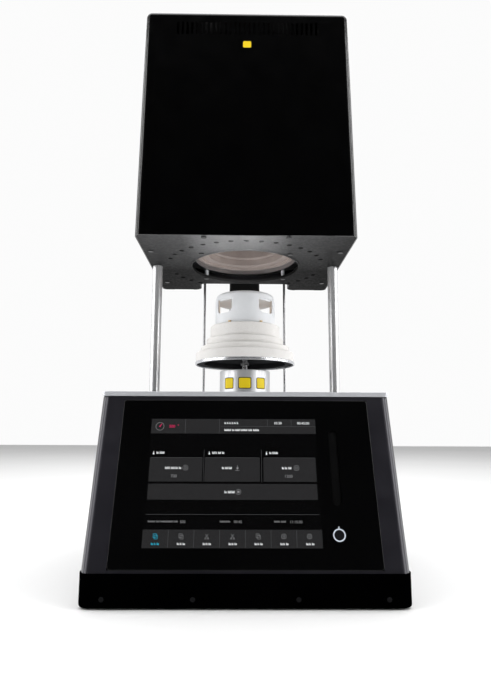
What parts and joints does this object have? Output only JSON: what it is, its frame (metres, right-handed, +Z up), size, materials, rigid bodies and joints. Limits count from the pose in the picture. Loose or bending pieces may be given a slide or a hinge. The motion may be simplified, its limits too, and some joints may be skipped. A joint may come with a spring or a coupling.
{
  "type": "ceramic firing furnace",
  "caption": "Bench-top furnace: a lift table raises a lidded firing cup on stepped insulation into a heated chamber in the head, above a sloped touch panel.",
  "frame": {"origin": "point on the floor below the lift axis, at the bottom centre of the bounding box", "axes": "+Z up along the lift axis, -Y to the front where the touch panel is, +X to the right seen from the front"},
  "size_m": [0.3836, 0.416, 0.8114],
  "materials": {
    "black_tray": "satin black enamel",
    "foot_rubber": "matte",
    "anthracite": "metallic anthracite lacquer",
    "rear_sheet": "fine texture",
    "screw_steel": "satin",
    "black_screw": "blackened",
    "silver_plate": "fine bead-blasted",
    "gasket": "matte",
    "black_moulding": "matte",
    "panel_glass": "back-printed black",
    "display": "dark screen",
    "board_green": "solder mask",
    "smoked_lens": "smoked",
    "light_guide": "lit white",
    "key_black": "polished",
    "zinc_sheet": "zinc-plated",
    "chrome": "polished",
    "steel": "ground",
    "alloy": "machined",
    "motor_black": "satin",
    "belt_rubber": "matte",
    "bronze": "plain bearing bronze",
    "disc_steel": "mirror-polished",
    "fibre_white": "granular alumina fibre",
    "cup_white": "smooth sintered",
    "peg_ceramic": "sintered",
    "duct_black": "satin",
    "floor_satin": "satin",
    "head_black": "smooth black gloss",
    "ring_steel": "turned",
    "chamber_fibre": "fired fibre",
    "can_sheet": "rolled",
    "element_grey": "silicide"
  },
  "bodies": {
    "frame": {"base_tray": "black_tray", "rubber_feet": "foot_rubber", "base_housing": "anthracite", "base_rear_panel": "rear_sheet", "base_screws": "black_screw", "top_plate": "silver_plate", "plate_seal": "gasket", "panel_carrier": "black_moulding", "panel_glass": "panel_glass", "display_module": "display", "controller_board": "board_green", "status_lens": "smoked_lens", "standby_light_ring": "light_guide", "mains_inlet": "black_moulding", "fan_frame": "black_moulding", "power_supply": "zinc_sheet", "heater_relay": "alloy", "lift_base_plate": "alloy", "lift_plate_posts": "steel", "lift_motor": "motor_black", "drive_belt": "belt_rubber", "screw_bearings": "alloy", "guide_rods": "steel", "tube_gland": "black_moulding", "column_left": "chrome", "column_right": "chrome", "column_nuts": "screw_steel", "stay_rods": "chrome", "cable_duct": "duct_black", "head_floor": "floor_satin", "head_cover": "head_black", "head_rear_cover": "rear_sheet", "cable_recess": "rear_sheet", "head_screws": "screw_steel", "muffle_base_ring": "ring_steel", "muffle_standoffs": "cup_white", "muffle_throat": "fibre_white", "muffle_wall": "chamber_fibre", "muffle_roof": "chamber_fibre", "muffle_can": "can_sheet", "heating_elements": "element_grey", "element_terminals": "alloy", "thermocouple": "peg_ceramic"},
    "lift": {"lift_carriage": "alloy", "lift_nut": "bronze", "guide_bushes": "bronze", "lift_tube": "chrome", "table_post": "steel", "table_disc": "disc_steel", "table_insulation_lower": "fibre_white", "table_insulation_upper": "fibre_white", "tray_pegs": "peg_ceramic"},
    "cup": {"firing_tray": "cup_white"},
    "lid": {"tray_lid": "cup_white"},
    "screw": {"lead_screw": "steel", "screw_pulley": "alloy"},
    "motor_shaft": {"motor_pulley": "alloy"},
    "fan": {"fan_rotor": "black_moulding"},
    "rocker": {"mains_rocker": "key_black"},
    "key": {"standby_key": "key_black"}
  },
  "joints": [
    {"name": "lift", "type": "slide", "parent": "frame", "child": "lift", "axis": [0, 0, 1], "range_m": [0, 0.15]},
    {"name": "lead_screw_turn", "type": "hinge", "parent": "frame", "child": "screw", "pos_m": [0, 0.072, 0.015], "axis": [0, 0, 1], "continuous": true},
    {"name": "motor_turn", "type": "hinge", "parent": "frame", "child": "motor_shaft", "pos_m": [0.075, 0.115, 0.015], "axis": [0, 0, 1], "continuous": true},
    {"name": "cup_lift_off", "type": "slide", "parent": "lift", "child": "cup", "axis": [0, 0, 1], "range_m": [0, 0.012]},
    {"name": "lid_lift_off", "type": "slide", "parent": "cup", "child": "lid", "axis": [0, 0, 1], "range_m": [0, 0.012]},
    {"name": "fan_spin", "type": "hinge", "parent": "frame", "child": "fan", "pos_m": [-0.092, 0.195, 0.15], "axis": [0, 1, 0], "continuous": true},
    {"name": "rocker_tilt", "type": "hinge", "parent": "frame", "child": "rocker", "pos_m": [0.112, 0.2032, 0.1], "axis": [1, 0, 0], "range_deg": [0, 14]},
    {"name": "standby_key_press", "type": "slide", "parent": "frame", "child": "key", "axis": [0, 0.9457, -0.3249], "range_m": [0, 0.001], "stiffness_N_per_m": 800, "springref_m": -0.001}
  ],
  "couplings": [
    {"joint": "lead_screw_turn", "follows": "lift", "rad_per_m": -628.32},
    {"joint": "motor_turn", "follows": "lift", "rad_per_m": -1005.3}
  ]
}
